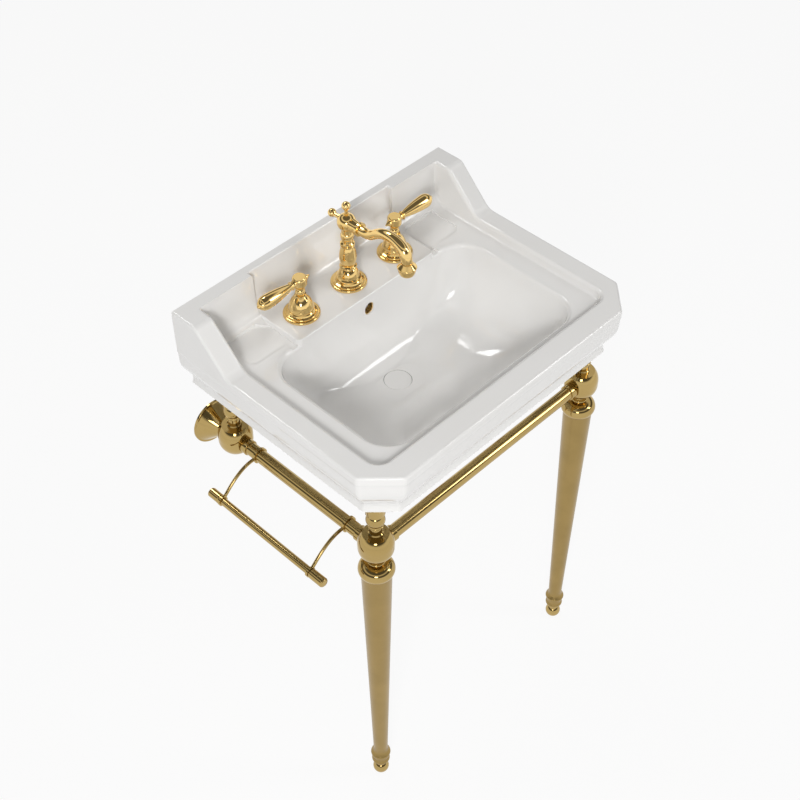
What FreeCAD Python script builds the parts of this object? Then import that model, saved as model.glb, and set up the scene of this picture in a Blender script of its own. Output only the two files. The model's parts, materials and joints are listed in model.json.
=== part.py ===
import FreeCAD, Part
import math
import os
import Sketcher

# Console washbasin on two turned legs, with a side towel bar, a three-hole faucet and a pop-up waste.
# Millimetres. Z is up, the wall is the plane y = 0, x = 0 is the middle, the user stands at -Y.

V = FreeCAD.Vector

SIZES = {
    # levels above the floor
    "rim_z": 833, "crest_z": 898, "deck_z": 825, "ledge_z": 816.5, "dish_z": 814, "skirt_z": 741,
    "band_z": 819, "ceiling_z": 802, "deck_under_z": 811,
    # basin plan
    "basin_width": 570, "basin_depth": 430, "corner_cut": 48, "corner_round": 9,
    "crest_depth": 52, "slope_foot": 116, "crest_round": 14, "slope_round": 25,
    "inner_half": 249, "inner_front": 389, "inner_round": 22, "end_wall_y": 23, "end_wall_foot": 28,
    "end_cove": 26, "back_wall_y": 13, "back_wall_foot": 26, "back_cove": 12, "deck_half": 148,
    "deck_front": 120, "deck_round": 8,
    # skirt: inward step and depth below the rim of each section
    "skirt_step_a": 1.7, "skirt_drop_a": 34.5, "skirt_step_b": 4.3, "skirt_drop_b": 47,
    "skirt_step_c": 11, "skirt_drop_c": 60, "skirt_step_d": 15.7, "skirt_drop_d": 67, "skirt_step_e": 18.8,
    # soap dishes
    "dish_inner": 148, "dish_outer": 228, "dish_front": 104, "dish_back": 39, "dish_cut": 16, "dish_nip": 10,
    "dish_channel": 12,
    # bowl
    "bowl_half": 211.5, "bowl_back": 120, "bowl_front": 371.5, "bowl_round": 48, "bowl_wall": 10,
    "bowl_floor_z": 682.6, "edge_round": 4, "lip_round": 7, "inner_edge_round": 6,
    "crest_edge_round": 3, "foot_round": 4, "deck_edge_round": 2,
    # underside
    "cavity_half": 250, "cavity_back": 16, "cavity_front": 395, "corner_pad_x": 212, "corner_pad_y": 78,
    "corner_pad_front": 330, "corner_pad_toe": 196, "deck_cavity_half": 140, "deck_cavity_back": 22,
    "deck_cavity_front": 104,
    # waste
    "drain_y": 182, "boss_r": 32, "boss_z": 656, "seat_r": 23.1, "seat_z": 673.6, "drain_hole_r": 19.2,
    "duct_half": 12, "duct_back": 98, "duct_front": 107, "duct_low_z": 664, "duct_sill_z": 672,
    "duct_top_z": 806, "duct_block_half": 20, "duct_block_back": 92, "duct_block_top": 690,
    "overflow_z": 797, "overflow_r": 9.4, "overflow_straight": 3.6, "overflow_gap": 0.1,
    "overflow_wall": 1.5, "overflow_tip": 118.2, "overflow_heel": 109,
    "cap_r": 22.5, "cap_under_z": 677.2, "cap_crown": 0.8, "cap_round": 1.2,
    "seal_r": 20, "seal_gap": 0.05,
    "flange_r": 22.7, "flange_top_z": 675.6, "tube_r": 18.6, "tube_bore_r": 16.1, "tube_end_z": 575,
    "stem_r": 3.5, "fin_r": 15.9, "fin_half": 1, "fin_low_z": 640, "fin_top_z": 666,
    "eye_low_z": 587, "eye_top_z": 613, "eye_half": 5, "eye_thick": 2, "eye_r": 3.7,
    "pivot_z": 600, "pivot_arm": 27, "pivot_rod_r": 2.5, "pivot_ball_r": 6.2, "port_r": 9, "port_bore_r": 6.5,
    "port_reach": 24, "nut_start": 17, "nut_r": 11.5, "nut_inner_r": 9.1, "nut_shoulder": 31,
    "nut_end": 34, "nut_mouth_r": 5.2, "pivot_overhang": 2.5, "pivot_tail": 5,
    "gasket_r": 28, "gasket_low_z": 649, "washer_neck_r": 23, "locknut_r": 27, "locknut_low_z": 637,
    "locknut_wing": 31, "thread_gap": 0.1,
    "tail_r": 15.9, "tail_bore_r": 14.6, "tail_low_z": 490, "tail_in": 10, "tail_bead_r": 18.4,
    "tail_bead": 4,
    # lift rod and strap
    "rod_r": 3, "rod_gap": 0.06, "rod_low_z": 722, "knob_r": 7, "knob_z": 974, "knob_neck_z": 968.8,
    "strap_half": 6, "strap_thick": 1.6, "strap_y": 70.2, "strap_top_z": 742, "strap_bend_z": 650,
    "strap_low_bend_z": 624, "strap_low_z": 585, "strap_hole_r": 3.4, "clip_top_z": 746, "clip_low_z": 734,
    "clip_half": 7, "clip_front": 81, "screw_r": 2, "screw_head_r": 5, "screw_head": 6,
    # faucet plan
    "faucet_y": 76, "spout_back": 1, "tap_x": 101.5, "tap_hole_r": 16, "spout_hole_r": 14.8,
    # escutcheon
    "esc_r": 29, "esc_edge": 2.4, "esc_step_r": 26.6, "esc_bead_r": 23.4, "esc_top_r": 20.6, "esc_height": 11,
    "esc_bore_r": 14.6,
    # bonnet of each tap
    "bell_r": 20, "bell_z": 15, "bell_neck_r": 8.4, "bell_neck_z": 37, "bonnet_waist_r": 6.8,
    "bonnet_ball_r": 7.8, "bonnet_ball_z": 45, "bonnet_top_r": 6.4,
    "bonnet_bore_r": 13.5, "bonnet_cup_z": 15.5, "bonnet_core_r": 8.3, "bonnet_core_z": 22, "spindle_r": 4,
    "spindle_gap": 0.06,
    # hub and lever
    "hub_base_z": 50.2, "hub_waist_r": 6.5, "hub_r": 11.5, "hub_low_z": 57, "hub_high_z": 70,
    "hub_top_r": 9.3, "hub_top_z": 73.5, "spindle_low_z": 14, "lever_z": 65, "lever_seat": 10.6,
    "lever_root_r": 6.2, "lever_root": 12.6, "lever_neck_r": 5.3, "lever_neck": 19.5, "lever_ring_r": 6.6,
    "lever_ring": 17, "lever_fat_r": 11.7, "lever_fat": 66, "lever_end_r": 9.6, "lever_end": 75.5,
    "lever_tip_r": 2.4, "lever_tip": 84.4, "lever_pin_r": 3, "lever_pin": 6, "hub_finial_r": 5.2,
    "hub_finial": 20.5,
    # valve body under each tap
    "valve_r": 13.2, "valve_head_r": 8, "valve_head_z": 21, "valve_low_z": -52, "inlet_r": 10.4,
    "inlet_low_z": -72, "tap_nut_r": 21, "tap_nut": 9, "tap_washer_r": 23, "tap_washer": 2,
    # spout
    "spout_bell_r": 17.5, "spout_bell_z": 18.5, "spout_ring_r": 12.6, "spout_ring_z": 34,
    "column_neck_r": 10.6, "column_r": 13.8, "column_z": 53, "column_top_r": 10, "column_top_z": 72,
    "double_ring_r": 11, "double_ring_z": 77, "column_waist_r": 9, "spout_ball_r": 10.7, "spout_ball_z": 93,
    "head_r": 15, "head_z": 118.6, "head_top_z": 133, "head_top_r": 6,
    # spout arm, outlet and rear finial
    "arm_seat": 11, "arm_root_r": 10.3, "arm_slim_r": 8, "arm_mid_r": 9.4, "arm_end_r": 8.2, "arm_z": 119.6,
    "arm_rise": 21.9, "arm_ring_r": 11.2, "arm_ring_y": 103, "arm_ring": 4, "outlet_y": 202,
    "outlet_top_z": 111.8, "outlet_bell_r": 14.3, "outlet_bell_z": 104.3, "outlet_low_z": 91.8,
    "outlet_neck_r": 9, "outlet_mouth_r": 11.2, "aerator_r": 9.6, "aerator_depth": 12, "aerator_hole_r": 7,
    "finial_ball_r": 6.8, "finial_ball_y": 31.5, "finial_foot_r": 6.2, "finial_stem_r": 3.4,
    "finial_z": 119.3,
    # spout shank and nut
    "shank_r": 12, "shank_bore_r": 4, "shank_low_z": -46, "spout_nut_r": 14.6, "spout_nut": 10,
    # stand plan
    "leg_x": 237.8, "leg_y": 369.5, "rear_y": 55.5,
    # leg
    "foot_ball_r": 14, "foot_flat_r": 5, "foot_neck_r": 9, "foot_top_r": 12, "foot_top_z": 34,
    "foot_stem_r": 6, "foot_stem_z": 78, "foot_gap": 0.06, "shaft_low_z": 34.3, "shaft_bore_z": 96,
    "ring_low_r": 14.8, "ring_waist_r": 13.6, "ring_top_r": 15.8, "ring_z": 60, "shaft_foot_r": 12.3,
    "shaft_foot_z": 75, "shaft_top_r": 24.1, "shaft_top_z": 574, "shaft_wall": 3.5, "shaft_plug_z": 108,
    # bun, ball and post
    "bun_r": 28.7, "bun_z": 584, "bun_bulge": 14, "bun_ring_r": 13.6, "bun_ring_z": 603.5, "neck_r": 11.5,
    "bun_spigot_r": 19.8, "bun_spigot": 10,
    "ball_r": 28, "ball_z": 637, "ball_rise": 7, "ball_shoulder": 33.2, "ball_top_r": 20.5, "ball_top_z": 666,
    "ball_seat": 24, "stud_r": 6, "stud": 9, "stud_gap": 0.1,
    "post_foot_r": 11.6, "post_neck_r": 10, "post_flare_z": 686, "post_flare_r": 11, "bulb_r": 14.6,
    "bulb_z": 698, "pad_low_z": 712, "pad_r": 14.8,
    # rails
    "rail_r": 11, "rail_bore_r": 9, "collar_r": 13, "collar": 12, "collar_round": 1,
    # wall flange
    "rosette_r": 40, "rosette": 4.5, "cone_foot_r": 36.5, "cone_tip_r": 15.4, "cone_end": 27,
    "rosette_tip_r": 16.4, "cup_wall": 4, "wall_stud_r": 5, "wall_stud_start": 8, "wall_stud_in": 9,
    # towel bar
    "towel_x": 319, "towel_z": 596, "towel_r": 6.25, "grip_r": 8, "towel_dome": 0.4, "towel_rear": 84,
    "towel_front": 343, "arm_rear_y": 112, "arm_front_y": 311, "wire_r": 2.8, "ring_r": 13.6,
    "ring_width": 4, "eye_ring_r": 8.6,
    "fit_gap": 0.05, "grip_gap": 0.3,
    # basin fixings
    "bolt_x": 172, "bolt_z": 776, "bolt_r": 5, "bolt_gap": 0.4, "bolt_head_r": 11, "bolt_hex_r": 8.5,
    "bolt_flange": 2.5, "bolt_head": 8,
}

SIDES = {"left": -1, "right": 1}


class Size:
    """A length: its number and the sheet formula that gives it."""

    def __init__(self, value, text):
        self.value = float(value)
        self.text = text

    def __add__(self, other):
        other = size(other)
        return Size(self.value + other.value, "(" + self.text + " + " + other.text + ")")

    def __radd__(self, other):
        return size(other) + self

    def __sub__(self, other):
        other = size(other)
        return Size(self.value - other.value, "(" + self.text + " - " + other.text + ")")

    def __rsub__(self, other):
        return size(other) - self

    def __mul__(self, factor):
        return Size(self.value * factor, "(" + self.text + " * " + repr(float(factor)) + ")")

    def __rmul__(self, factor):
        return self * factor

    def __truediv__(self, factor):
        return self * (1.0 / factor)

    def __neg__(self):
        return self * -1


def size(number):
    """A plain number as a Size; a Size stays as it is."""
    if isinstance(number, Size):
        return number
    return Size(number, "(" + repr(float(number)) + ")")


class Sheet:
    """The sizes of the whole object, one sheet cell and one attribute for each name."""

    def __init__(self, doc):
        sheet = doc.addObject("Spreadsheet::Sheet", "Sizes")
        for row, name in enumerate(SIZES, start=1):
            sheet.set("A" + str(row), name)
            sheet.set("B" + str(row), str(SIZES[name]))
            sheet.setAlias("B" + str(row), name)
            setattr(self, name, Size(SIZES[name], "Sizes." + name))


# ---------------------------------------------------------------- sketches

def body(doc, label):
    made = doc.addObject("PartDesign::Body", label)
    made.Label = label
    return made


def sketch(part, plane="XZ_Plane", lift=0, tilt=0):
    """Sketch on one of the body's own planes, moved along the plane's normal by lift, then tilted."""
    made = part.newObject("Sketcher::SketchObject", part.Label + "_outline")
    base = [item for item in part.Origin.OriginFeatures if item.Role == plane][0]
    made.AttachmentSupport = [(base, "")]
    made.MapMode = "FlatFace"
    lift = size(lift)
    made.AttachmentOffset = FreeCAD.Placement(V(0, 0, lift.value), FreeCAD.Rotation(V(1, 0, 0), tilt))
    if lift.value:
        made.setExpression("AttachmentOffset.Base.z", lift.text)
    return made


def fix(outline, kind, edge, end, length):
    """Hold one end of an edge at a signed distance from the sketch axis."""
    if abs(length.value) < 1e-6:
        axis = -2 if kind == "DistanceX" else -1
        outline.addConstraint(Sketcher.Constraint("PointOnObject", edge, end, axis))
        return
    if length.value > 0:
        index = outline.addConstraint(Sketcher.Constraint(kind, -1, 1, edge, end, length.value))
        outline.setExpression("Constraints[" + str(index) + "]", length.text)
    else:
        index = outline.addConstraint(Sketcher.Constraint(kind, edge, end, -1, 1, -length.value))
        outline.setExpression("Constraints[" + str(index) + "]", "-" + length.text)


def fix_radius(outline, edge, radius):
    index = outline.addConstraint(Sketcher.Constraint("Radius", edge, abs(radius.value)))
    sign = "" if radius.value > 0 else "-"
    outline.setExpression("Constraints[" + str(index) + "]", sign + radius.text)


def fix_bulge(outline, edge, start, end, radius):
    """Hold an arc by its radius; a half circle by the height of its centre instead."""
    wide = abs(end[0].value - start[0].value)
    if abs(wide - 2 * abs(radius.value)) < 1e-6:
        fix(outline, "DistanceY", edge, 3, end[1])
    else:
        fix_radius(outline, edge, radius)


def arc_between(start, end, radius):
    """The shorter arc between two points; a positive radius turns left on the way, a negative one right."""
    chord = end - start
    half = chord.Length / 2
    reach = math.sqrt(max(radius * radius - half * half, 0))
    side = V(-chord.y, chord.x, 0).normalize()
    centre = (start + end) * 0.5 + side * (reach if radius > 0 else -reach)
    circle = Part.Circle(centre, V(0, 0, 1), abs(radius))
    first, last = (start, end) if radius > 0 else (end, start)
    begin = math.atan2(first.y - centre.y, first.x - centre.x)
    finish = math.atan2(last.y - centre.y, last.x - centre.x)
    if finish < begin:
        finish += 2 * math.pi
    return Part.ArcOfCircle(circle, begin, finish)


def draw(outline, nodes):
    """Closed outline through nodes (x, y), or (x, y, r) where the edge that arrives is an arc."""
    offset = outline.GeometryCount
    ends = [(size(node[0]), size(node[1])) for node in nodes]
    starts = []
    stops = []
    for index, node in enumerate(nodes):
        start = V(ends[index - 1][0].value, ends[index - 1][1].value, 0)
        end = V(ends[index][0].value, ends[index][1].value, 0)
        if len(node) == 2:
            outline.addGeometry(Part.LineSegment(start, end), False)
            turned_back = False
        else:
            radius = size(node[2])
            outline.addGeometry(arc_between(start, end, radius.value), False)
            turned_back = radius.value < 0
        starts.append(2 if turned_back else 1)
        stops.append(1 if turned_back else 2)
    for index in range(len(nodes)):
        after = (index + 1) % len(nodes)
        joint = Sketcher.Constraint("Coincident", offset + index, stops[index], offset + after, starts[after])
        outline.addConstraint(joint)
    for index, node in enumerate(nodes):
        fix(outline, "DistanceX", offset + index, stops[index], ends[index][0])
        fix(outline, "DistanceY", offset + index, stops[index], ends[index][1])
        if len(node) == 3:
            fix_bulge(outline, offset + index, ends[index - 1], ends[index], size(node[2]))


def draw_circle(outline, x, y, radius):
    radius = size(radius)
    centre = V(size(x).value, size(y).value, 0)
    edge = outline.addGeometry(Part.Circle(centre, V(0, 0, 1), radius.value), False)
    fix(outline, "DistanceX", edge, 3, size(x))
    fix(outline, "DistanceY", edge, 3, size(y))
    fix_radius(outline, edge, radius)


def rounded(corners):
    """Nodes of a polygon whose corners (x, y, r) are rounded; r = 0 leaves a corner sharp."""
    nodes = []
    for index, (x, y, radius) in enumerate(corners):
        x, y, radius = size(x), size(y), size(radius)
        if radius.value == 0:
            nodes.append((x, y))
            continue
        before = corners[index - 1]
        after = corners[(index + 1) % len(corners)]
        here = V(x.value, y.value, 0)
        come = (here - V(size(before[0]).value, size(before[1]).value, 0)).normalize()
        leave = (V(size(after[0]).value, size(after[1]).value, 0) - here).normalize()
        reach = radius * math.tan(come.getAngle(leave) / 2)
        turn = 1 if come.cross(leave).z > 0 else -1
        nodes.append((x - reach * come.x, y - reach * come.y))
        nodes.append((x + reach * leave.x, y + reach * leave.y, radius * turn))
    return nodes


# ---------------------------------------------------------------- features

def extrude(part, outline, length, cut=False, both=False, back=False):
    """Pad or pocket of an outline; both sides share the length, back goes against the plane's normal."""
    kind = "PartDesign::Pocket" if cut else "PartDesign::Pad"
    made = part.newObject(kind, part.Label + ("_cut" if cut else "_pad"))
    made.Profile = outline
    length = size(length)
    made.Length = length.value
    made.setExpression("Length", length.text)
    made.Midplane = both
    made.Reversed = (not back) if cut else back
    if both:
        made.Reversed = False
    outline.Visibility = False
    return made


def revolve(part, outline):
    made = part.newObject("PartDesign::Revolution", part.Label + "_turned")
    made.Profile = outline
    made.ReferenceAxis = (outline, ["V_Axis"])
    made.Angle = 360
    return made


def loft(part, outlines, cut=False):
    kind = "PartDesign::SubtractiveLoft" if cut else "PartDesign::AdditiveLoft"
    made = part.newObject(kind, part.Label + "_loft")
    made.Profile = outlines[0]
    made.Sections = outlines[1:]
    made.Ruled = False
    return made


def mirror(part, features):
    """Repeat features on the other side of the body's own middle plane x = 0."""
    made = part.newObject("PartDesign::Mirrored", part.Label + "_mirrored")
    made.Originals = features
    middle = [item for item in part.Origin.OriginFeatures if item.Role == "YZ_Plane"][0]
    made.MirrorPlane = (middle, [""])
    part.Tip = made
    return made


def edges_where(feature, test):
    """Names of the edges whose points all pass the test."""
    names = []
    for index, edge in enumerate(feature.Shape.Edges, start=1):
        first, last = edge.ParameterRange
        points = [edge.valueAt(first + (last - first) * step / 4) for step in range(5)]
        if all(test(point) for point in points):
            names.append("Edge" + str(index))
    return names


def soften(doc, part, radius, test):
    """Fillet the edges of the newest feature that pass the test."""
    doc.recompute()
    base = part.Tip
    made = part.newObject("PartDesign::Fillet", part.Label + "_fillet")
    made.Base = (base, edges_where(base, test))
    made.Radius = radius.value
    made.setExpression("Radius", radius.text)
    return made


def place(part, x, y, z, direction=V(0, 0, 1)):
    """Put the body's own origin at a point and turn its Z axis to a direction."""
    spot = [size(x), size(y), size(z)]
    turn = FreeCAD.Rotation(V(0, 0, 1), direction)
    part.Placement = FreeCAD.Placement(V(spot[0].value, spot[1].value, spot[2].value), turn)
    for axis, value in zip("xyz", spot):
        part.setExpression("Placement.Base." + axis, value.text)
    return part


def dome(foot, rise):
    """Radius of a dome about the axis, from the radius of its foot and its rise."""
    foot, rise = size(foot), size(rise)
    value = (foot.value ** 2 + rise.value ** 2) / (2 * rise.value)
    text = "((" + foot.text + " ^ 2 + " + rise.text + " ^ 2) / (2 * " + rise.text + "))"
    return Size(value, text)


def turned(doc, label, nodes):
    """Piece of revolution about its own Z axis, from nodes (radius, height)."""
    part = body(doc, label)
    outline = sketch(part)
    draw(outline, nodes)
    revolve(part, outline)
    return part


def spout_y(d):
    """Distance of the spout's own axis from the wall."""
    return d.faucet_y - d.spout_back


# ---------------------------------------------------------------- basin

def basin_plan(d, step):
    """Outer plan of the basin, moved inward by step on the sides, the front and the cut corners."""
    half = d.basin_width / 2 - step
    shift = step * (math.sqrt(2) - 1)
    front = -(d.basin_depth - step)
    side_end = -(d.basin_depth - d.corner_cut - shift)
    front_end = d.basin_width / 2 - d.corner_cut - shift
    return rounded([
        (-half, 0, 0), (-half, side_end, d.corner_round), (-front_end, front, d.corner_round),
        (front_end, front, d.corner_round), (half, side_end, d.corner_round), (half, 0, 0),
    ])


def bowl_plan(half, back, front, radius):
    return rounded([(-half, -back, radius), (-half, -front, radius), (half, -front, radius),
                    (half, -back, radius)])


def bowl_sections(d, wall):
    """Plan sections of the bowl from the ledge down; wall moves them outward and down."""
    top = d.ledge_z + 0.5
    shape = [
        (top, d.bowl_half, d.bowl_back, d.bowl_front, d.bowl_round),
        (top - 17, d.bowl_half - 2.5, d.bowl_back, d.bowl_front - 3, d.bowl_round),
        (top - 47, d.bowl_half - 11, d.bowl_back + 0.3, d.bowl_front - 13, d.bowl_round + 2),
        (top - 80, d.bowl_half - 27, d.bowl_back + 2, d.bowl_front - 32, d.bowl_round + 3),
        (top - 106, d.bowl_half - 50, d.bowl_back + 7, d.bowl_front - 58, d.bowl_round),
        (top - 123, d.bowl_half - 84, d.bowl_back + 17, d.bowl_front - 92, d.bowl_round - 6),
        (top - 131.5, d.bowl_half - 130, d.bowl_back + 30, d.bowl_front - 128, d.bowl_round - 16),
        (d.bowl_floor_z, d.bowl_half - 168, d.bowl_back + 41, d.bowl_front - 154, d.bowl_round - 26),
    ]
    if not wall:
        return shape
    return [(z - wall, half + wall, back - wall, front + wall, radius + wall)
            for z, half, back, front, radius in shape]


def bowl_loft(part, sections, cut):
    outlines = []
    for z, half, back, front, radius in sections:
        outline = sketch(part, "XY_Plane", z)
        draw(outline, bowl_plan(half, back, front, radius))
        outlines.append(outline)
    return loft(part, outlines, cut)


def basin_outside(part, d):
    """Upright band with its full plan, and the moulded skirt below it."""
    outline = sketch(part, "XY_Plane", d.band_z)
    draw(outline, basin_plan(d, size(0)))
    extrude(part, outline, d.crest_z - d.band_z)
    levels = [
        (size(0), d.band_z), (d.skirt_step_a, d.rim_z - d.skirt_drop_a),
        (d.skirt_step_b, d.rim_z - d.skirt_drop_b), (d.skirt_step_c, d.rim_z - d.skirt_drop_c),
        (d.skirt_step_d, d.rim_z - d.skirt_drop_d), (d.skirt_step_e, d.skirt_z),
    ]
    outlines = []
    for step, z in levels:
        outline = sketch(part, "XY_Plane", z)
        draw(outline, basin_plan(d, step))
        outlines.append(outline)
    loft(part, outlines)


def basin_underside(part, d):
    """Hollow below the ledge, bowl underside, drain boss and the block round the overflow duct."""
    outline = sketch(part, "XY_Plane", d.skirt_z - 1)
    draw(outline, rounded([
        (-d.corner_pad_x, -d.cavity_back, 6), (-d.corner_pad_x, -d.corner_pad_y, 6),
        (-d.cavity_half, -d.corner_pad_y, 6), (-d.cavity_half, -d.corner_pad_front, 6),
        (-d.corner_pad_toe, -d.cavity_front, 6), (d.corner_pad_toe, -d.cavity_front, 6),
        (d.cavity_half, -d.corner_pad_front, 6), (d.cavity_half, -d.corner_pad_y, 6),
        (d.corner_pad_x, -d.corner_pad_y, 6), (d.corner_pad_x, -d.cavity_back, 6),
    ]))
    extrude(part, outline, d.ceiling_z - d.skirt_z + 1, cut=True)
    bowl_loft(part, bowl_sections(d, d.bowl_wall), False)
    outline = sketch(part, "XY_Plane", d.boss_z)
    draw_circle(outline, 0, -d.drain_y, d.boss_r)
    extrude(part, outline, d.bowl_floor_z - d.boss_z - 2)
    outline = sketch(part, "XY_Plane", d.boss_z)
    block = d.duct_block_half
    draw(outline, rounded([
        (-block, -d.duct_block_back, 4), (-block, -d.drain_y, 0), (block, -d.drain_y, 0),
        (block, -d.duct_block_back, 4),
    ]))
    extrude(part, outline, d.duct_block_top - d.boss_z - 8)
    outline = sketch(part, "XY_Plane", d.boss_z)
    draw(outline, rounded([
        (-block, -d.duct_block_back, 4), (-block, -d.bowl_back - 4, 0), (block, -d.bowl_back - 4, 0),
        (block, -d.duct_block_back, 4),
    ]))
    extrude(part, outline, d.ceiling_z - d.boss_z + 1)


def basin_recess(part, d):
    """Wings, end bays and ledge, cut from above down to the level of the ledge."""
    over = d.crest_z + 2
    past = -d.basin_depth - 5
    outline = sketch(part, "YZ_Plane")
    draw(outline, rounded([
        (-d.crest_depth + 22, over, 0), (-d.crest_depth + 22, d.crest_z, 0),
        (-d.crest_depth, d.crest_z, d.crest_round), (-d.slope_foot, d.rim_z, d.slope_round),
        (past, d.rim_z, 0), (past, over, 0),
    ]))
    extrude(part, outline, d.basin_width + 10, cut=True, both=True)
    floor_end = -d.deck_front - 6
    outline = sketch(part, "YZ_Plane")
    draw(outline, rounded([
        (-d.end_wall_y, over, 0), (-d.end_wall_foot, d.ledge_z, d.end_cove), (floor_end, d.ledge_z, 0),
        (floor_end, over, 0),
    ]))
    extrude(part, outline, d.inner_half * 2, cut=True, both=True)
    outline = sketch(part, "XY_Plane", d.ledge_z)
    draw(outline, rounded([
        (-d.inner_half, -d.deck_front, 0), (-d.inner_half, -d.inner_front, d.inner_round),
        (d.inner_half, -d.inner_front, d.inner_round), (d.inner_half, -d.deck_front, 0),
    ]))
    extrude(part, outline, over - d.ledge_z, cut=True)


def basin_deck(part, d):
    """Raised faucet deck with its coved back wall and hollow underside, and a soap dish on each side."""
    over = d.crest_z + 2
    low = d.ledge_z - 12
    outline = sketch(part, "XY_Plane", low)
    draw(outline, rounded([
        (-d.deck_half, -d.back_wall_y + 3, 0), (-d.deck_half, -d.deck_front, d.deck_round),
        (d.deck_half, -d.deck_front, d.deck_round), (d.deck_half, -d.back_wall_y + 3, 0),
    ]))
    extrude(part, outline, d.deck_z - low + 30)
    outline = sketch(part, "YZ_Plane")
    floor_end = -d.deck_front - 6
    draw(outline, rounded([
        (-d.back_wall_y, over, 0), (-d.back_wall_foot, d.deck_z, d.back_cove), (floor_end, d.deck_z, 0),
        (floor_end, over, 0),
    ]))
    extrude(part, outline, d.deck_half * 2, cut=True, both=True)
    outline = sketch(part, "XY_Plane", low - 3)
    block, past = d.duct_block_half, d.duct_block_back
    draw(outline, rounded([
        (-d.deck_cavity_half, -d.deck_cavity_back, 5), (-d.deck_cavity_half, -d.deck_cavity_front, 5),
        (-block, -d.deck_cavity_front, 0), (-block, -past, 0), (block, -past, 0),
        (block, -d.deck_cavity_front, 0), (d.deck_cavity_half, -d.deck_cavity_front, 5),
        (d.deck_cavity_half, -d.deck_cavity_back, 5),
    ]))
    extrude(part, outline, d.deck_under_z - low + 3, cut=True)
    outline = sketch(part, "XY_Plane", d.dish_z)
    draw(outline, [
        (d.dish_inner, -d.dish_back - d.dish_cut), (d.dish_inner + d.dish_cut, -d.dish_back),
        (d.dish_outer, -d.dish_back), (d.dish_outer, -d.dish_front + d.dish_nip),
        (d.dish_outer - d.dish_nip, -d.dish_front), (d.dish_inner + d.dish_channel, -d.dish_front),
        (d.dish_inner + d.dish_channel, -d.bowl_back - 4), (d.dish_inner, -d.bowl_back - 4),
    ])
    dish = extrude(part, outline, d.crest_z - d.dish_z, cut=True)
    mirror(part, [dish])


def basin_holes(part, d):
    """Drain seat and hole, overflow duct, tap holes and the holes for the wall bolts."""
    outline = sketch(part, "XY_Plane", d.seat_z)
    draw_circle(outline, 0, -d.drain_y, d.seat_r)
    extrude(part, outline, d.bowl_floor_z - d.seat_z + 10, cut=True)
    outline = sketch(part, "XY_Plane", d.boss_z - 1)
    draw_circle(outline, 0, -d.drain_y, d.drain_hole_r)
    extrude(part, outline, d.seat_z - d.boss_z + 2, cut=True)
    outline = sketch(part, "XY_Plane", d.duct_low_z)
    draw(outline, rounded([
        (-d.duct_half, -d.duct_back, 3), (-d.duct_half, -d.duct_front, 0), (d.duct_half, -d.duct_front, 0),
        (d.duct_half, -d.duct_back, 3),
    ]))
    extrude(part, outline, d.duct_top_z - d.duct_low_z, cut=True)
    outline = sketch(part, "XY_Plane", d.duct_low_z)
    inlet = d.drain_y - d.drain_hole_r + 2
    draw(outline, [
        (-d.duct_half, -d.duct_front + 1), (-d.duct_half, -inlet), (d.duct_half, -inlet),
        (d.duct_half, -d.duct_front + 1),
    ])
    extrude(part, outline, d.duct_sill_z - d.duct_low_z, cut=True)
    outline = sketch(part, "XZ_Plane", d.duct_back + 2)
    draw(outline, overflow_slot(d, d.overflow_r + d.overflow_gap))
    extrude(part, outline, d.bowl_back - d.duct_back + 8, cut=True)
    outline = sketch(part, "XY_Plane", d.deck_under_z - 2)
    for x in (-d.tap_x, d.tap_x):
        draw_circle(outline, x, -d.faucet_y, d.tap_hole_r)
    draw_circle(outline, 0, -spout_y(d), d.spout_hole_r)
    extrude(part, outline, d.deck_z - d.deck_under_z + 4, cut=True)
    outline = sketch(part, "XZ_Plane", -1)
    for x in (-d.bolt_x, d.bolt_x):
        draw_circle(outline, x, d.bolt_z, d.bolt_r + d.bolt_gap)
    extrude(part, outline, d.cavity_back + 3, cut=True)


def overflow_slot(d, radius):
    """Upright oval: two half circles joined by straight sides."""
    low = d.overflow_z - d.overflow_straight / 2
    high = d.overflow_z + d.overflow_straight / 2
    return [(radius, low, radius), (radius, high), (-radius, high, radius), (-radius, low)]


def make_basin(doc, d):
    part = body(doc, "basin")
    basin_outside(part, d)
    basin_underside(part, d)
    basin_recess(part, d)
    bowl_loft(part, bowl_sections(d, None), True)
    soften_bowl(doc, part, d)
    basin_deck(part, d)
    soften_top(doc, part, d)
    basin_holes(part, d)
    return part


def soften_bowl(doc, part, d):
    """Rounded lip all round the bowl."""
    ledge, inner, front = d.ledge_z.value, d.inner_half.value, d.inner_front.value

    def bowl_lip(point):
        level = abs(point.z - ledge) < 0.01
        return level and abs(point.x) < inner - 10 and -front + 10 < point.y < -d.bowl_back.value + 5

    soften(doc, part, d.lip_round, bowl_lip)


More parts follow.
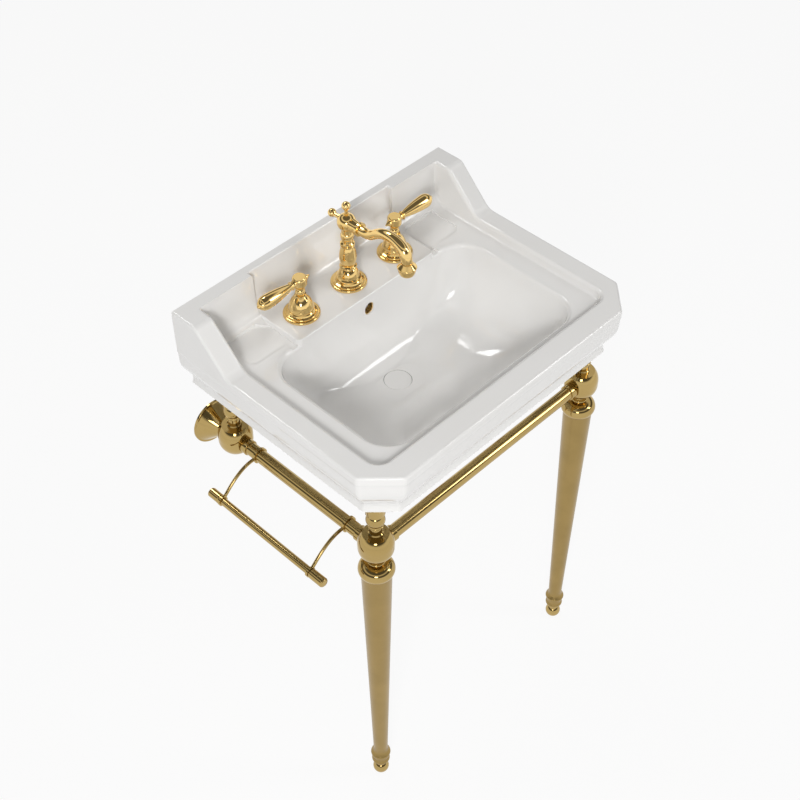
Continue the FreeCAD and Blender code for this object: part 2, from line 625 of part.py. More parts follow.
def soften_top(doc, part, d):
    """Rounded edges of the rim, the wings, the crest and the deck, and the foot of the rim's inner wall."""
    rim, crest, deck, ledge = d.rim_z.value, d.crest_z.value, d.deck_z.value, d.ledge_z.value
    half, depth = d.basin_width.value / 2, d.basin_depth.value
    inner, front, deck_half = d.inner_half.value, d.inner_front.value, d.deck_half.value
    corner, bay = d.inner_round.value + 1, d.end_wall_y.value + 0.5

    def outer_edge(point):
        outside = abs(point.x) > half - 60 and (abs(point.x) > half - 1 or point.y < -depth + 60)
        outside = outside or point.y < -depth + 1
        return outside and rim - 0.01 < point.z < crest + 1 and point.y < -0.5

    def inner_edge(point):
        within = abs(point.x) < inner + 0.01 and -front - 0.01 < point.y < -bay
        return within and point.z > rim - 0.01 and (abs(point.x) > inner - 0.01 or point.y < -front + corner)

    def crest_edge(point):
        return abs(point.z - crest) < 0.01 and abs(point.x) < inner - 0.5 and point.y < -1

    def foot_edge(point):
        return abs(point.z - ledge) < 0.01 and (abs(point.x) > inner - 0.01 or point.y < -front + corner - 11)

    def deck_edge(point):
        level = abs(point.z - deck) < 0.01
        return level and (abs(point.x) > deck_half - 9 or point.y < -d.bowl_back.value + 9)

    soften(doc, part, d.edge_round, outer_edge)
    soften(doc, part, d.inner_edge_round, inner_edge)
    soften(doc, part, d.crest_edge_round, crest_edge)
    soften(doc, part, d.foot_round, foot_edge)
    soften(doc, part, d.deck_edge_round, deck_edge)


def make_overflow_ring(doc, d):
    part = body(doc, "overflow_ring")
    outline = sketch(part, "XZ_Plane", d.overflow_heel)
    draw(outline, overflow_slot(d, d.overflow_r))
    draw(outline, overflow_slot(d, d.overflow_r - d.overflow_wall))
    extrude(part, outline, d.overflow_tip - d.overflow_heel)
    return part


# ---------------------------------------------------------------- waste

def make_drain_cap(doc, d):
    top = d.bowl_floor_z
    part = turned(doc, "drain_cap", [
        (0, d.cap_under_z), (d.cap_r - 1, d.cap_under_z), (d.cap_r, d.cap_under_z + 1),
        (d.cap_r, top - d.cap_round), (d.cap_r - d.cap_round, top, d.cap_round), (0, top + d.cap_crown),
    ])
    return place(part, 0, -d.drain_y, 0)


def make_plug_stem(doc, d):
    """Stem under the cap with four guiding fins and a flat eye for the pivot rod."""
    part = turned(doc, "plug_stem", [
        (0, d.eye_top_z - 4), (d.stem_r, d.eye_top_z - 4), (d.stem_r, d.cap_under_z - 3),
        (10, d.cap_under_z - 1.6), (10, d.cap_under_z), (0, d.cap_under_z),
    ])
    outline = sketch(part, "XY_Plane", d.fin_low_z)
    thin = d.fin_half
    draw(outline, [
        (d.fin_r, -thin), (d.fin_r, thin), (thin, thin), (thin, d.fin_r), (-thin, d.fin_r), (-thin, thin),
        (-d.fin_r, thin), (-d.fin_r, -thin), (-thin, -thin), (-thin, -d.fin_r), (thin, -d.fin_r),
        (thin, -thin),
    ])
    extrude(part, outline, d.fin_top_z - d.fin_low_z)
    outline = sketch(part, "XZ_Plane")
    draw(outline, rounded([
        (-d.eye_half, d.eye_low_z, 3), (d.eye_half, d.eye_low_z, 3), (d.eye_half, d.eye_top_z, 2),
        (-d.eye_half, d.eye_top_z, 2),
    ]))
    draw_circle(outline, 0, d.pivot_z, d.eye_r)
    extrude(part, outline, d.eye_thick * 2, both=True)
    return place(part, 0, -d.drain_y, 0)


def make_plug_seal(doc, d):
    low = d.flange_top_z + d.seal_gap
    part = turned(doc, "plug_seal", [
        (10.1, low), (d.seal_r, low), (d.seal_r, d.cap_under_z), (10.1, d.cap_under_z),
    ])
    return place(part, 0, -d.drain_y, 0)


def make_drain_body(doc, d):
    """Flange in the bowl, tube through the basin with two overflow windows, and the port of the pivot."""
    part = turned(doc, "drain_body", [
        (d.tube_bore_r, d.tube_end_z), (d.tube_r, d.tube_end_z), (d.tube_r, d.seat_z),
        (d.flange_r, d.seat_z), (d.flange_r, d.flange_top_z - 0.6), (d.flange_r - 0.6, d.flange_top_z),
        (d.tube_bore_r + 1, d.flange_top_z), (d.tube_bore_r, d.flange_top_z - 1),
    ])
    outline = sketch(part, "XZ_Plane", -d.port_reach)
    draw_circle(outline, 0, d.pivot_z, d.port_r)
    extrude(part, outline, d.port_reach - d.tube_r + 3)
    outline = sketch(part, "XZ_Plane", -d.port_reach - 1)
    draw_circle(outline, 0, d.pivot_z, d.port_bore_r)
    extrude(part, outline, d.port_reach + 1, cut=True)
    outline = sketch(part, "XZ_Plane", -d.tube_r - 1)
    draw(outline, rounded([
        (-6, d.duct_low_z + 1, 2), (6, d.duct_low_z + 1, 2), (6, d.duct_sill_z - 1, 2),
        (-6, d.duct_sill_z - 1, 2),
    ]))
    extrude(part, outline, d.tube_r * 2 + 2, cut=True)
    return place(part, 0, -d.drain_y, 0)


def make_drain_gasket(doc, d):
    bore = d.tube_r + d.thread_gap
    part = turned(doc, "drain_gasket", [
        (bore, d.gasket_low_z), (d.washer_neck_r, d.gasket_low_z), (d.gasket_r, d.boss_z - 3),
        (d.gasket_r, d.boss_z), (bore, d.boss_z),
    ])
    return place(part, 0, -d.drain_y, 0)


def make_drain_locknut(doc, d):
    """Ring nut with six grip lugs."""
    bore = d.tube_r + d.thread_gap
    low, high = d.locknut_low_z, d.gasket_low_z
    part = turned(doc, "drain_locknut", [
        (bore, low), (d.locknut_r - 1, low), (d.locknut_r, low + 1), (d.locknut_r, high - 1),
        (d.locknut_r - 1, high), (bore, high),
    ])
    outline = sketch(part, "XY_Plane", low + 2)
    draw(outline, [(d.locknut_r - 2, -4), (d.locknut_wing, -3), (d.locknut_wing, 3), (d.locknut_r - 2, 4)])
    lug = extrude(part, outline, high - low - 4)
    pattern = part.newObject("PartDesign::PolarPattern", "locknut_lugs")
    pattern.Originals = [lug]
    upright = [item for item in part.Origin.OriginFeatures if item.Role == "Z_Axis"][0]
    pattern.Axis = (upright, [""])
    pattern.Angle = 360
    pattern.Occurrences = 6
    part.Tip = pattern
    return place(part, 0, -d.drain_y, 0)


def make_tailpiece(doc, d):
    seat = d.tube_end_z
    part = turned(doc, "tailpiece", [
        (d.tail_bore_r, d.tail_low_z), (d.tail_r, d.tail_low_z), (d.tail_r, seat - d.tail_bead),
        (d.tail_bead_r, seat - d.tail_bead), (d.tail_bead_r, seat), (d.tail_r, seat),
        (d.tail_r, seat + d.tail_in), (d.tail_bore_r, seat + d.tail_in),
    ])
    return place(part, 0, -d.drain_y, 0)


def make_pivot_nut(doc, d):
    """Cap nut over the port; its own axis leaves the drain axis towards the wall."""
    part = turned(doc, "pivot_nut", [
        (d.nut_inner_r, d.nut_start + 2.5), (d.nut_r, d.nut_start + 2.5), (d.nut_r, d.nut_end - 2),
        (d.nut_r - 2, d.nut_end), (d.nut_mouth_r, d.nut_end), (d.nut_mouth_r, d.nut_shoulder),
        (d.port_bore_r, d.nut_shoulder), (d.port_bore_r, d.port_reach), (d.nut_inner_r, d.port_reach),
    ])
    return place(part, 0, -d.drain_y, d.pivot_z, V(0, 1, 0))


def make_pivot_rod(doc, d):
    """Rod with a ball, from the eye of the plug stem to the strap; its own origin is the ball."""
    rod, ball = d.pivot_rod_r, d.pivot_ball_r
    meet = math.sqrt(d.pivot_ball_r.value ** 2 - d.pivot_rod_r.value ** 2)
    inner = -(d.pivot_arm + d.pivot_overhang)
    outer = d.pivot_arm + d.pivot_tail
    part = turned(doc, "pivot_rod", [
        (0, inner), (rod - 0.5, inner), (rod, inner + 0.5), (rod, -meet), (ball, 0, ball), (rod, meet, ball),
        (rod, outer - 1), (rod - 1, outer), (0, outer),
    ])
    return place(part, 0, -d.drain_y + d.pivot_arm, d.pivot_z, V(0, 1, 0))


def make_lift_rod(doc, d):
    """Ball knob on its rod, standing in the middle of the spout."""
    rod = d.rod_r
    drop = math.sqrt(d.knob_r.value ** 2 - 3.6 ** 2)
    part = turned(doc, "lift_rod", [
        (0, d.rod_low_z), (rod - 0.5, d.rod_low_z), (rod, d.rod_low_z + 0.5), (rod, d.knob_neck_z - 2),
        (3.6, d.knob_neck_z - 1.2), (3.6, d.knob_z - drop), (d.knob_r, d.knob_z, d.knob_r),
        (0, d.knob_z + d.knob_r, d.knob_r),
    ])
    return place(part, 0, -spout_y(d), 0)


def make_lift_strap(doc, d):
    """Bent strip from the rod clip down to the pivot rod, with a row of holes at its foot."""
    part = body(doc, "lift_strap")
    near = -d.strap_y
    low_y = -(d.drain_y - d.pivot_arm * 2)
    thick = d.strap_thick
    outline = sketch(part, "YZ_Plane")
    draw(outline, [
        (near, d.strap_top_z), (near - thick, d.strap_top_z), (near - thick, d.strap_bend_z + 0.7),
        (low_y - thick / 2, d.strap_low_bend_z + 0.7), (low_y - thick / 2, d.strap_low_z),
        (low_y + thick / 2, d.strap_low_z), (low_y + thick / 2, d.strap_low_bend_z - 0.7),
        (near, d.strap_bend_z - 0.7),
    ])
    extrude(part, outline, d.strap_half * 2, both=True)
    outline = sketch(part, "XY_Plane", d.clip_low_z)
    draw(outline, rounded([
        (-d.clip_half, near, 1.5), (-d.clip_half, -d.clip_front, 1.5), (d.clip_half, -d.clip_front, 1.5),
        (d.clip_half, near, 1.5),
    ]))
    extrude(part, outline, d.clip_top_z - d.clip_low_z)
    outline = sketch(part, "XY_Plane", d.clip_low_z - 1)
    draw_circle(outline, 0, -spout_y(d), d.rod_r + d.rod_gap)
    extrude(part, outline, d.clip_top_z - d.clip_low_z + 2, cut=True)
    outline = sketch(part, "XZ_Plane", -low_y - 5)
    for row in (-10, 0, 10, 20):
        draw_circle(outline, 0, d.pivot_z + row * 0.95, d.strap_hole_r)
    extrude(part, outline, 10, cut=True)
    outline = sketch(part, "XZ_Plane", spout_y(d))
    draw_circle(outline, 0, d.clip_low_z + 6, d.screw_r + d.thread_gap)
    extrude(part, outline, 10, cut=True)
    return part


def make_strap_screw(doc, d):
    """Thumb screw that clamps the rod in the clip; its own axis points to the user."""
    tip = d.rod_r + 0.02
    face = d.clip_front - spout_y(d)
    part = turned(doc, "strap_screw", [
        (0, tip), (d.screw_r, tip), (d.screw_r, face), (d.screw_head_r - 1, face),
        (d.screw_head_r, face + 1), (d.screw_head_r, face + d.screw_head - 1),
        (d.screw_head_r - 1, face + d.screw_head), (0, face + d.screw_head),
    ])
    return place(part, 0, -spout_y(d), d.clip_low_z + 6, V(0, -1, 0))


# ---------------------------------------------------------------- faucet

def make_escutcheon(doc, d, label, x, y, bore):
    """Stepped round base plate of a tap or the spout."""
    edge = d.esc_edge
    top = d.esc_height
    part = turned(doc, label, [
        (bore, 0), (d.esc_r - 0.8, 0), (d.esc_r, 0.8), (d.esc_r, edge),
        (d.esc_step_r, edge * 2, edge), (d.esc_step_r - 1.2, edge * 2), (d.esc_step_r - 1.2, edge * 2 + 0.6),
        (d.esc_bead_r, edge * 2 + 2.4, 1.9), (d.esc_top_r + 1, edge * 2 + 3), (d.esc_top_r, top - 1.2),
        (d.esc_top_r - 1, top), (bore, top),
    ])
    return place(part, x, y, d.deck_z)


def make_bonnet(doc, d, side, x):
    """Bell and neck ball that carry a handle."""
    base = d.esc_height
    bore = d.spindle_r + d.spindle_gap
    ball = d.bonnet_ball_r
    low = math.sqrt(d.bonnet_ball_r.value ** 2 - d.bonnet_waist_r.value ** 2)
    high = math.sqrt(d.bonnet_ball_r.value ** 2 - d.bonnet_top_r.value ** 2)
    part = turned(doc, side + "_bonnet", [
        (d.bonnet_bore_r, base), (d.bell_r - 0.5, base), (d.bell_r, base + 1), (d.bell_r, base + 2.5),
        (d.bell_r - 0.4, d.bell_z), (d.bell_neck_r, d.bell_neck_z, 36),
        (d.bell_neck_r + 0.6, d.bell_neck_z + 0.6), (d.bell_neck_r + 0.6, d.bell_neck_z + 2.4),
        (d.bonnet_waist_r, d.bell_neck_z + 3.2),
        (d.bonnet_waist_r, d.bonnet_ball_z - low), (ball, d.bonnet_ball_z, ball),
        (d.bonnet_top_r, d.bonnet_ball_z + high, ball), (bore, d.bonnet_ball_z + high),
        (bore, d.bonnet_core_z), (d.bonnet_core_r, d.bonnet_core_z), (d.bonnet_core_r, d.bonnet_cup_z),
        (d.bonnet_bore_r, d.bonnet_cup_z),
    ])
    return place(part, x, -d.faucet_y, d.deck_z)


def make_hub(doc, d, side, x, out):
    """Handle hub on its spindle, with a seat for the lever and a small pointed finial behind."""
    part = turned(doc, side + "_hub", [
        (0, d.spindle_low_z), (d.spindle_r, d.spindle_low_z), (d.spindle_r, d.hub_base_z),
        (d.hub_waist_r, d.hub_base_z), (d.hub_waist_r, d.hub_base_z + 2),
        (d.hub_r - 1, d.hub_low_z + 1, 12), (d.hub_r, d.hub_low_z + 3),
        (d.hub_r, d.hub_high_z - 1), (d.hub_top_r, d.hub_top_z, 6), (0, d.hub_top_z),
    ])
    outline = sketch(part, "YZ_Plane", d.lever_seat)
    draw_circle(outline, 0, d.lever_z, 8)
    extrude(part, outline, d.hub_r - d.lever_seat + 1, cut=True)
    outline = sketch(part, "YZ_Plane", d.lever_seat - d.lever_pin)
    draw_circle(outline, 0, d.lever_z, d.lever_pin_r + d.fit_gap)
    extrude(part, outline, d.lever_pin + 1, cut=True)
    outline = sketch(part, "XZ_Plane")
    seat = d.hub_r - 3
    draw(outline, [
        (-seat, d.lever_z), (-seat, d.lever_z + d.hub_finial_r), (-seat - 4, d.lever_z + d.hub_finial_r),
        (-seat - 4.6, d.lever_z + d.hub_finial_r - 0.9), (-d.hub_finial + 1, d.lever_z + 0.9),
        (-d.hub_finial, d.lever_z),
    ])
    finial = part.newObject("PartDesign::Revolution", part.Label + "_finial")
    finial.Profile = outline
    edge = outline.addGeometry(Part.LineSegment(V(0, SIZES["lever_z"], 0), V(5, SIZES["lever_z"], 0)), True)
    fix(outline, "DistanceY", edge, 1, d.lever_z)
    fix(outline, "DistanceX", edge, 1, size(0))
    fix(outline, "DistanceY", edge, 2, d.lever_z)
    fix(outline, "DistanceX", edge, 2, size(5))
    finial.ReferenceAxis = (outline, ["Axis0"])
    finial.Angle = 360
    place(part, x, -d.faucet_y, d.deck_z)
    if out < 0:
        part.Placement.Rotation = FreeCAD.Rotation(V(0, 0, 1), 180)
    return part


def make_lever(doc, d, side, x, out):
    """Tapered lever with a ring at its root and a domed end with a tip."""
    seat = d.lever_seat
    part = turned(doc, side + "_lever", [
        (0, seat - d.lever_pin + 0.5), (d.lever_pin_r, seat - d.lever_pin + 0.5), (d.lever_pin_r, seat),
        (d.lever_root_r, seat), (d.lever_root_r, d.lever_root), (d.lever_neck_r, d.lever_root + 2),
        (d.lever_neck_r, d.lever_ring - 1.8), (d.lever_ring_r, d.lever_ring - 1),
        (d.lever_ring_r, d.lever_ring + 1, 1.2), (d.lever_neck_r, d.lever_ring + 1.8),
        (d.lever_neck_r, d.lever_neck), (d.lever_fat_r, d.lever_fat, 240), (d.lever_end_r, d.lever_end, 20),
        (d.lever_end_r - 1, d.lever_end + 0.5), (d.lever_end_r - 1.4, d.lever_end + 1.7),
        (d.lever_tip_r + 1.2, d.lever_end + 6, 10), (d.lever_tip_r, d.lever_end + 6.7),
        (d.lever_tip_r, d.lever_tip - 1.4), (0, d.lever_tip, dome(d.lever_tip_r, 1.4)),
    ])
    return place(part, x, -d.faucet_y, d.deck_z + d.lever_z, V(out, 0, 0))


def make_valve(doc, d, side, x):
    """Valve body through the deck, with the threaded inlet at its foot."""
    bore = d.spindle_r + d.spindle_gap
    part = turned(doc, side + "_valve", [
        (0, d.inlet_low_z), (d.inlet_r - 1, d.inlet_low_z), (d.inlet_r, d.inlet_low_z + 1),
        (d.inlet_r, d.valve_low_z), (d.valve_r, d.valve_low_z), (d.valve_r, d.esc_height + 3.5),
        (d.valve_head_r, d.esc_height + 3.5), (d.valve_head_r, d.valve_head_z), (bore, d.valve_head_z),
        (bore, d.spindle_low_z - 0.5), (0, d.spindle_low_z - 0.5),
    ])
    return place(part, x, -d.faucet_y, d.deck_z)


def make_nut(doc, d, label, x, y, bore, radius, height, washer_r, washer):
    """Round nut with its washer, drawn up against the underside of the deck."""
    part = turned(doc, label, [
        (bore, -washer - height), (radius - 1, -washer - height), (radius, -washer - height + 1),
        (radius, -washer), (washer_r, -washer), (washer_r, 0), (bore, 0),
    ])
    return place(part, x, y, d.deck_under_z)


def make_tap(doc, d, side, out):
    x = out * d.tap_x
    return [
        make_escutcheon(doc, d, side + "_escutcheon", x, -d.faucet_y, d.esc_bore_r),
        make_bonnet(doc, d, side, x),
        make_hub(doc, d, side, x, out),
        make_lever(doc, d, side, x, out),
        make_valve(doc, d, side, x),
        make_nut(doc, d, side + "_locknut", x, -d.faucet_y, d.valve_r + d.thread_gap, d.tap_nut_r, d.tap_nut,
                 d.tap_washer_r, d.tap_washer),
    ]


def make_spout_column(doc, d):
    """Bell, baluster column, rings, ball and head, bored for the lift rod."""
    base = d.esc_height
    bore = d.rod_r + d.rod_gap
    ring, head = d.double_ring_r, d.head_r
    ball = d.spout_ball_r
    waist = d.column_waist_r
    foot = math.sqrt(d.spout_ball_r.value ** 2 - d.column_waist_r.value ** 2)
    rise = math.sqrt(d.head_r.value ** 2 - d.column_waist_r.value ** 2)
    crown = math.sqrt(d.head_r.value ** 2 - d.head_top_r.value ** 2)
    part = turned(doc, "spout_column", [
        (bore, base - 8), (d.esc_bore_r - 0.4, base - 8), (d.esc_bore_r - 0.4, base),
        (d.bell_r - 0.5, base), (d.bell_r - 0.5, base + 3), (d.spout_bell_r, d.spout_bell_z - 3),
        (d.column_neck_r, d.spout_ring_z - 3.5, 30),
        (d.spout_ring_r, d.spout_ring_z - 2), (d.spout_ring_r, d.spout_ring_z + 2, 2.2),
        (d.column_neck_r + 0.4, d.spout_ring_z + 3.4), (d.column_r, d.column_z, 40),
        (d.column_top_r, d.column_top_z, 70), (d.column_top_r, d.double_ring_z - 3.6),
        (ring, d.double_ring_z - 3), (ring, d.double_ring_z - 0.6, 1.5), (ring - 1.6, d.double_ring_z),
        (ring, d.double_ring_z + 0.6), (ring, d.double_ring_z + 3, 1.5), (waist, d.double_ring_z + 5),
        (waist, d.spout_ball_z - foot), (ball, d.spout_ball_z, ball), (waist, d.spout_ball_z + foot, ball),
        (waist, d.head_z - rise), (head, d.head_z, head), (d.head_top_r, d.head_z + crown, head),
        (d.head_top_r - 1, d.head_top_z), (bore, d.head_top_z),
    ])
    outline = sketch(part, "XZ_Plane", d.arm_seat)
    draw_circle(outline, 0, d.arm_z, 12)
    extrude(part, outline, head, cut=True)
    outline = sketch(part, "XZ_Plane", -d.arm_seat)
    draw_circle(outline, 0, d.finial_z, d.finial_foot_r + d.fit_gap)
    extrude(part, outline, head, cut=True, back=True)
    return place(part, 0, -spout_y(d), d.deck_z)


def outlet_reach(d):
    """How far the outlet stands in front of the spout's own axis."""
    return d.outlet_y - spout_y(d)


def arm_stations(d):
    """Centre points (y forward, z) and radii along the swan-neck arm."""
    slim, mid = d.arm_slim_r, d.arm_mid_r
    reach, rise, low = outlet_reach(d), d.arm_rise, d.arm_z
    return [
        (d.arm_seat, low, d.arm_root_r, 0), (reach * 0.165, low, slim + 1, 0),
        (reach * 0.25, low, slim, 0), (reach * 0.362, low + rise * 0.055, slim, 15),
        (reach * 0.465, low + rise * 0.37, slim, 31), (reach * 0.563, low + rise * 0.76, slim + 0.1, 27),
        (reach * 0.661, low + rise * 0.96, slim + 0.3, 12), (reach * 0.756, low + rise, slim + 0.4, -4),
        (reach * 0.85, low + rise * 0.89, mid - 0.5, -20), (reach * 0.929, low + rise * 0.63, mid, -43),
        (reach * 0.984, low + rise * 0.12, mid - 0.1, -68), (reach, d.outlet_top_z, d.arm_end_r, -90),
    ]


def make_spout_arm(doc, d):
    """Swan neck with a ring near its root, ending in the outlet bell."""
    part = body(doc, "spout_arm")
    outlines = []
    for forward, z, radius, slope in arm_stations(d):
        outline = sketch(part, "XZ_Plane", forward, slope)
        outline.AttachmentOffset = FreeCAD.Placement(V(0, size(z).value, size(forward).value),
                                                     FreeCAD.Rotation(V(1, 0, 0), -slope))
        outline.setExpression("AttachmentOffset.Base.y", size(z).text)
        draw_circle(outline, 0, 0, radius)
        outlines.append(outline)
    loft(part, outlines)
    outline = sketch(part, "XZ_Plane", d.arm_ring_y - spout_y(d) - d.arm_ring / 2)
    draw_circle(outline, 0, d.arm_z + 0.3, d.arm_ring_r)
    extrude(part, outline, d.arm_ring)
    outlet = sketch(part, "YZ_Plane")
    axis = -outlet_reach(d)
    bell, low = d.outlet_bell_r, d.outlet_low_z
    depth = low + d.aerator_depth
    draw(outlet, [
        (axis, d.outlet_top_z + 1.5), (axis - d.outlet_neck_r, d.outlet_top_z + 1.5),
        (axis - d.outlet_neck_r, d.outlet_top_z), (axis - bell, d.outlet_bell_z + 2),
        (axis - bell, d.outlet_bell_z - 1, 2), (axis - bell + 1.2, d.outlet_bell_z - 2),
        (axis - d.outlet_mouth_r, low + 0.6, 16), (axis - d.outlet_mouth_r + 0.6, low),
        (axis - d.aerator_r - d.fit_gap, low), (axis - d.aerator_r - d.fit_gap, depth), (axis, depth),
    ])
    edge = outlet.addGeometry(Part.LineSegment(V(axis.value, 0, 0), V(axis.value, 5, 0)), True)
    fix(outlet, "DistanceX", edge, 1, axis)
    fix(outlet, "DistanceY", edge, 1, size(0))
    fix(outlet, "DistanceX", edge, 2, axis)
    fix(outlet, "DistanceY", edge, 2, size(5))
    turned_bell = part.newObject("PartDesign::Revolution", "spout_outlet")
    turned_bell.Profile = outlet
    turned_bell.ReferenceAxis = (outlet, ["Axis0"])
    turned_bell.Angle = 360
    return place(part, 0, -spout_y(d), d.deck_z)


def make_aerator(doc, d):
    low, depth = d.outlet_low_z, d.outlet_low_z + d.aerator_depth
    part = turned(doc, "aerator", [
        (0, low + 3), (d.aerator_hole_r, low + 3), (d.aerator_hole_r, low - 0.4), (d.aerator_r, low - 0.4),
        (d.aerator_r, depth), (0, depth),
    ])
    return place(part, 0, -d.outlet_y, d.deck_z)


def make_spout_finial(doc, d):
    """Small ball on a stem behind the spout head; its own axis points to the wall."""
    seat = d.arm_seat
    ball, centre = d.finial_ball_r, d.finial_ball_y
    near = math.sqrt(d.finial_ball_r.value ** 2 - d.finial_stem_r.value ** 2)
    part = turned(doc, "spout_finial", [
        (0, seat), (d.finial_foot_r, seat), (d.finial_foot_r, seat + 3.6), (d.finial_stem_r, seat + 5),
        (d.finial_stem_r, centre - near),
        (ball, centre, ball), (0, centre + ball, ball),
    ])
    return place(part, 0, -spout_y(d), d.deck_z + d.finial_z, V(0, 1, 0))


def make_spout_shank(doc, d):
    part = turned(doc, "spout_shank", [
        (d.shank_bore_r, d.shank_low_z), (d.shank_r - 1, d.shank_low_z), (d.shank_r, d.shank_low_z + 1),
        (d.shank_r, d.esc_height - 8), (d.shank_bore_r, d.esc_height - 8),
    ])
    return place(part, 0, -spout_y(d), d.deck_z)


def make_spout(doc, d):
    y = -spout_y(d)
    return [
        make_escutcheon(doc, d, "spout_escutcheon", 0, y, d.esc_bore_r),
        make_spout_column(doc, d), make_spout_arm(doc, d), make_aerator(doc, d), make_spout_finial(doc, d),
        make_spout_shank(doc, d),
        make_nut(doc, d, "spout_locknut", 0, y, d.shank_r + d.thread_gap, d.spout_nut_r + 1.4, d.spout_nut,
                 d.spout_nut_r + 1.5, d.tap_washer),
    ]


# ---------------------------------------------------------------- stand

def make_foot(doc, d, side, x):
    """Ball foot with a stem that slides up into the leg."""
    ball, flat, neck = d.foot_ball_r, d.foot_flat_r, d.foot_neck_r
    drop = math.sqrt(d.foot_ball_r.value ** 2 - d.foot_flat_r.value ** 2)
    rise = math.sqrt(d.foot_ball_r.value ** 2 - d.foot_neck_r.value ** 2)
    top = d.foot_top_z
    part = turned(doc, "foot_" + side, [
        (0, 0), (flat, 0), (ball, drop, ball), (neck, drop + rise, ball), (neck, top - 6),
        (d.foot_top_r, top - 3, -4), (d.foot_top_r, top), (d.foot_stem_r, top),
        (d.foot_stem_r, d.foot_stem_z - 1), (d.foot_stem_r - 1, d.foot_stem_z), (0, d.foot_stem_z),
    ])
    return place(part, x, -d.leg_y, 0)


def make_leg(doc, d, side, x):
    """Tapered hollow leg with turned rings above the foot."""
    bore = d.foot_stem_r + d.foot_gap
    low = d.shaft_low_z
    inside_top = d.shaft_top_r - d.shaft_wall
    part = turned(doc, "leg_" + side, [
        (bore, low), (d.foot_top_r, low), (d.ring_low_r, low + 3), (d.ring_low_r, low + 8.5, 4.5),
        (d.ring_waist_r, low + 11), (d.ring_waist_r, d.ring_z - 6), (d.ring_top_r, d.ring_z - 3.5),
        (d.ring_top_r, d.ring_z + 3, 4.5), (d.shaft_foot_r + 0.8, d.ring_z + 7),
        (d.shaft_foot_r, d.shaft_foot_z, -20), (d.shaft_top_r, d.shaft_top_z), (inside_top, d.shaft_top_z),
        (d.shaft_foot_r + 1.4 - d.shaft_wall, d.shaft_plug_z), (bore, d.shaft_bore_z),
    ])
    return place(part, x, -d.leg_y, 0)


def ball_foot(d):
    """Drop of the ball's lower flat below its centre."""
    return math.sqrt(d.ball_r.value ** 2 - d.neck_r.value ** 2)


def make_bun(doc, d, side, x):
    """Bulging collar, small ring and neck between the leg and its ball."""
    bulge, centre = d.bun_bulge, d.bun_z
    core = d.bun_r - bulge
    low = d.shaft_top_z
    reach = math.sqrt(d.bun_bulge.value ** 2 - (d.bun_z.value - d.shaft_top_z.value) ** 2)
    top = d.ball_z - ball_foot(d)
    part = turned(doc, "bun_" + side, [
        (0, low - d.bun_spigot), (d.bun_spigot_r, low - d.bun_spigot), (d.bun_spigot_r, low),
        (core + reach, low), (d.bun_r, centre, bulge), (core, centre + bulge, bulge),
        (d.neck_r, centre + bulge + 0.6), (d.neck_r, d.bun_ring_z - 2.6), (d.bun_ring_r, d.bun_ring_z - 1.8),
        (d.bun_ring_r, d.bun_ring_z + 1.8, 2.4), (d.neck_r, d.bun_ring_z + 2.6), (d.neck_r, top), (0, top),
    ])
    return place(part, x, -d.leg_y, 0)


def make_ball(doc, d, label, x, y, ways):
    """Ball fitting with a flat seat and a stud hole on each of the given sides, and one on top."""
    ball = d.ball_r
    low = d.ball_z - ball_foot(d)
    part = turned(doc, label, [
        (0, low), (d.neck_r, low), (ball, d.ball_z, ball), (ball, d.ball_z + d.ball_rise),
        (d.ball_top_r, d.ball_top_z, d.ball_shoulder), (0, d.ball_top_z),
    ])
    hole = d.stud_r + d.stud_gap
    deep = d.stud + 0.5
    outline = sketch(part, "XY_Plane", d.ball_top_z - deep)
    draw_circle(outline, 0, 0, hole)
    extrude(part, outline, deep + 1, cut=True)
    for plane, way in ways:
        forward = plane == "XZ_Plane"
        outward = -way if forward else way
        outline = sketch(part, plane, outward * d.ball_seat)
        draw_circle(outline, 0, d.ball_z, ball)
        extrude(part, outline, ball, cut=True, back=outward < 0)
        outline = sketch(part, plane, outward * (d.ball_seat - deep))
        draw_circle(outline, 0, d.ball_z, hole)
        extrude(part, outline, deep + 1, cut=True, back=outward < 0)
    return place(part, x, y, 0)


def make_post(doc, d, label, x, y):
    """Turned post between a ball and the underside of the basin."""
    low = d.ball_top_z
    bulb, reach = d.bulb_r, math.sqrt(d.bulb_r.value ** 2 - d.post_flare_r.value ** 2)
    part = turned(doc, label, [
        (0, low - d.stud), (d.stud_r, low - d.stud), (d.stud_r, low), (d.post_foot_r, low),
        (d.post_foot_r, low + 3), (d.post_neck_r, low + 4.5), (d.post_neck_r, d.post_flare_z - 3),
        (d.post_flare_r + 0.8, d.post_flare_z - 1.4), (d.post_flare_r + 0.8, d.post_flare_z + 0.6, 1.2),
        (d.post_flare_r, d.bulb_z - reach), (bulb, d.bulb_z, bulb), (d.post_flare_r, d.bulb_z + reach, bulb),
        (d.post_flare_r, d.pad_low_z - 2), (d.pad_r - 0.8, d.pad_low_z, -3), (d.pad_r, d.pad_low_z + 0.8),
        (d.pad_r, d.skirt_z), (0, d.skirt_z),
    ])
    return place(part, x, y, 0)


